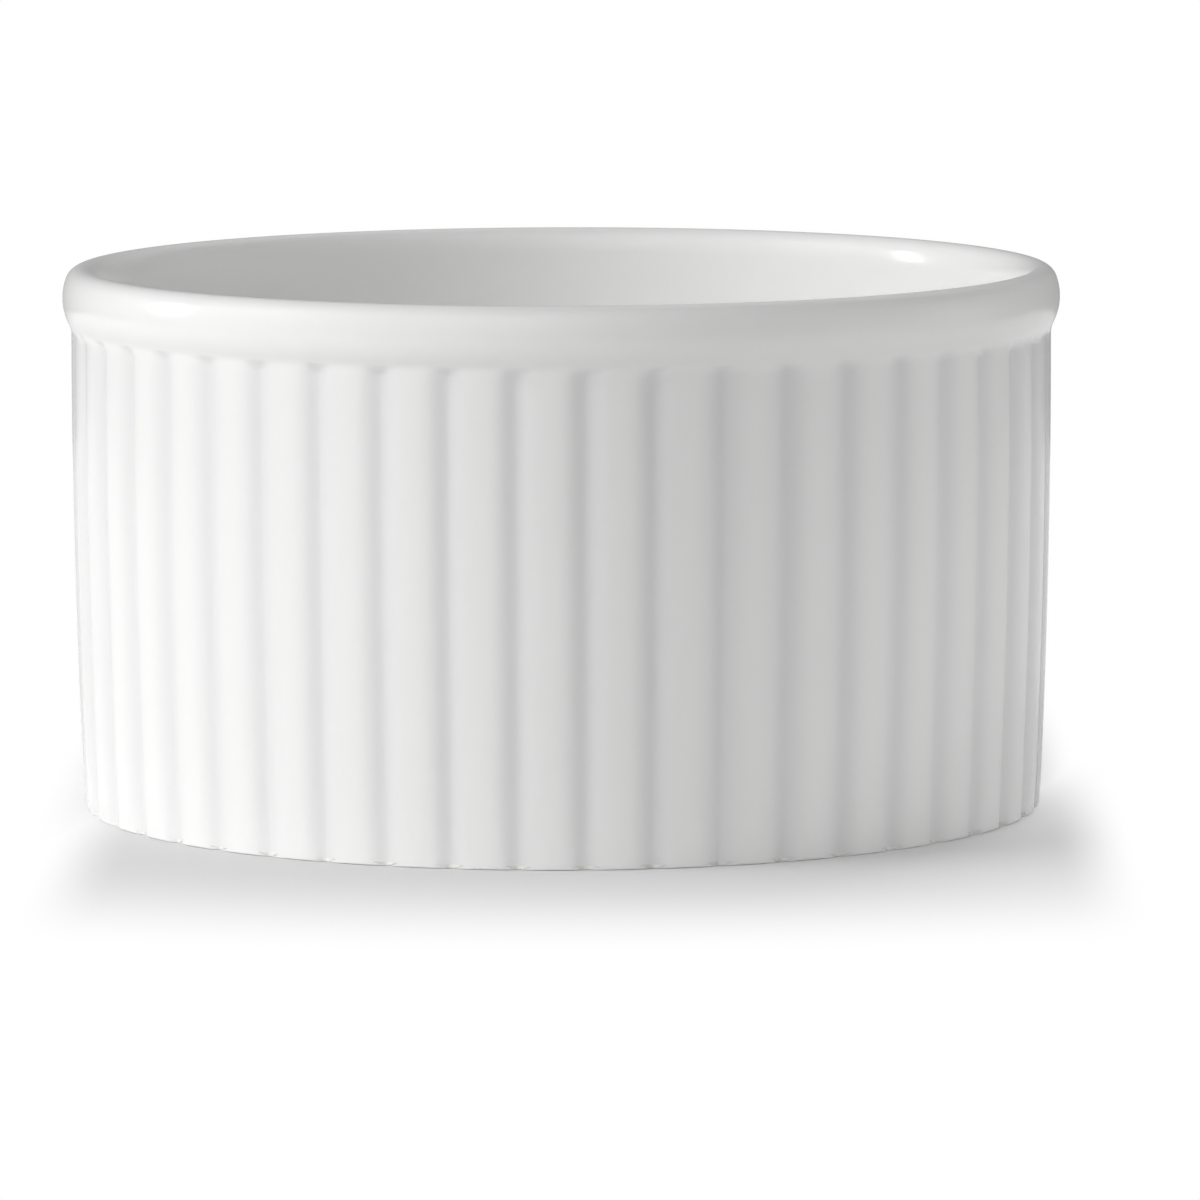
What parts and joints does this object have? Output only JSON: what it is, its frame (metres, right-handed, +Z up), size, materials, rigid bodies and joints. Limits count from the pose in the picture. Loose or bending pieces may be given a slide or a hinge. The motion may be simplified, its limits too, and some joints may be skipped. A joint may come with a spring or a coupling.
{
  "type": "ramekin",
  "caption": "Small round straight-sided baking dish in white glazed porcelain, with a smooth rounded rim band, a ribbed outer wall, a plain glossy inside and a bare foot ring.",
  "frame": {"origin": "centre of the foot ring's underside, on the surface that the ramekin stands on", "axes": "+Z up along the ramekin's own axis, from the foot to the open rim; X and Y are alike, because the dish is round"},
  "size_m": [0.09, 0.09, 0.0488],
  "materials": {
    "porcelain": "matt",
    "glaze": "gloss"
  },
  "bodies": {
    "root": {"porcelain_body": "porcelain", "glaze_coat": "glaze", "underside_glaze": "glaze"}
  },
  "joints": []
}
